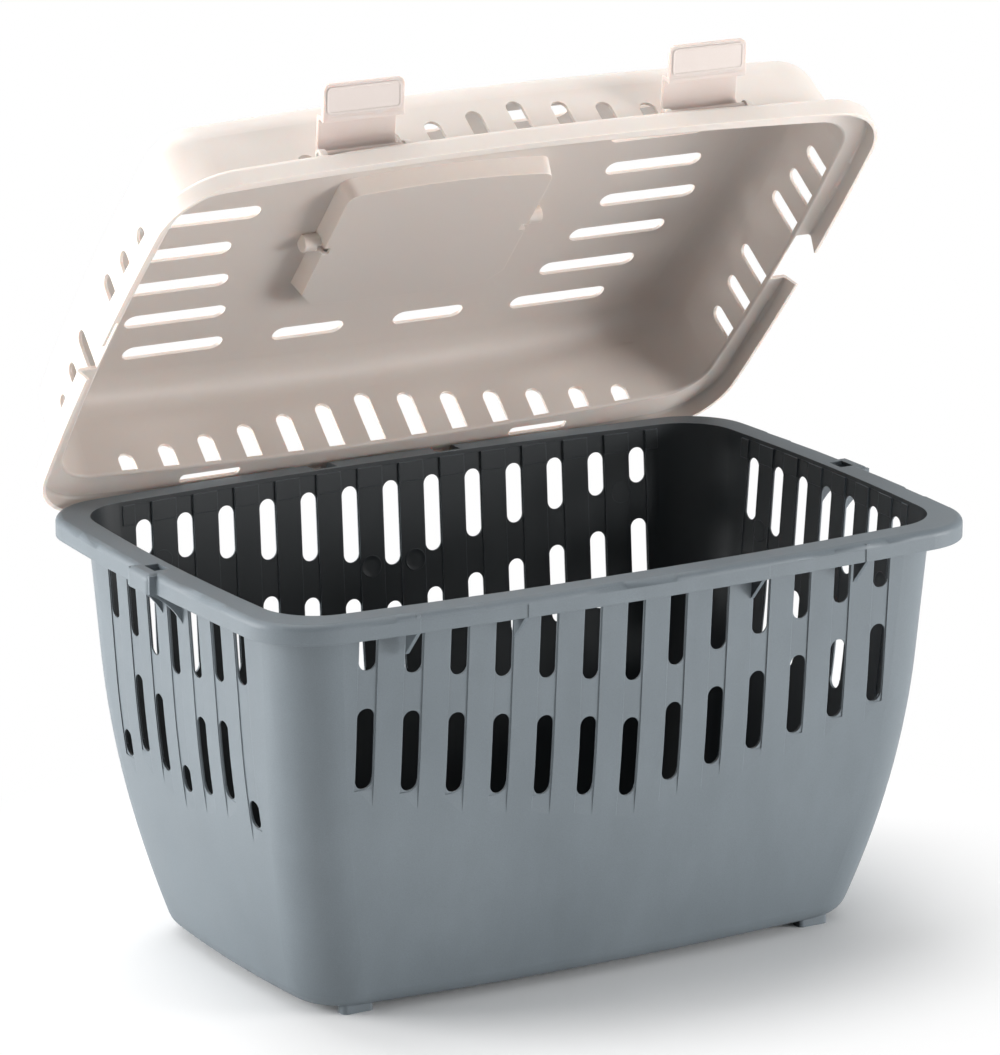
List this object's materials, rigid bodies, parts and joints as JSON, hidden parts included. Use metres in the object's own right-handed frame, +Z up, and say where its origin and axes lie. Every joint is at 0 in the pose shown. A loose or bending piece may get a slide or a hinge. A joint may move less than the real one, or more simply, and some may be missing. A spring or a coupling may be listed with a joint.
{
  "type": "pet carrier",
  "caption": "Top-opening plastic pet carrier: slotted tub, hinged domed lid with a folding bail handle in a well, and snap latches on the lid's front edge.",
  "frame": {"origin": "middle of the flat underside of the tub's base, 4 mm above the floor that the feet stand on", "axes": "+X along the carrier to the right of someone facing the latches, +Y to the back, where the lid is hinged, +Z up"},
  "size_m": [0.49, 0.3547, 0.5296],
  "materials": {
    "tub_plastic": "fine matt moulded polypropylene, grey-blue",
    "lid_plastic": "satin moulded polypropylene, pale beige",
    "handle_plastic": "satin moulded polypropylene, pale beige",
    "latch_plastic": "satin moulded polypropylene, pale beige"
  },
  "bodies": {
    "tub": {"tub": "tub_plastic"},
    "lid": {"lid": "lid_plastic"},
    "handle": {"handle": "handle_plastic"},
    "latch_left": {"latch_left": "latch_plastic"},
    "latch_right": {"latch_right": "latch_plastic"}
  },
  "joints": [
    {"name": "lid_hinge", "type": "hinge", "parent": "tub", "child": "lid", "pos_m": [0, 0.1577, 0.2376], "axis": [-1, 0, 0], "range_deg": [-49.3, 55.7]},
    {"name": "handle_fold", "type": "hinge", "parent": "lid", "child": "handle", "pos_m": [0, 0.10513, 0.40039], "axis": [1, 0, 0], "range_deg": [0, 180]},
    {"name": "latch_left_flip", "type": "hinge", "parent": "lid", "child": "latch_left", "pos_m": [-0.114, -0.03254, 0.48468], "axis": [-1, 0, 0], "range_deg": [-125, 35]},
    {"name": "latch_right_flip", "type": "hinge", "parent": "lid", "child": "latch_right", "pos_m": [0.114, -0.03254, 0.48468], "axis": [-1, 0, 0], "range_deg": [-125, 35]}
  ]
}
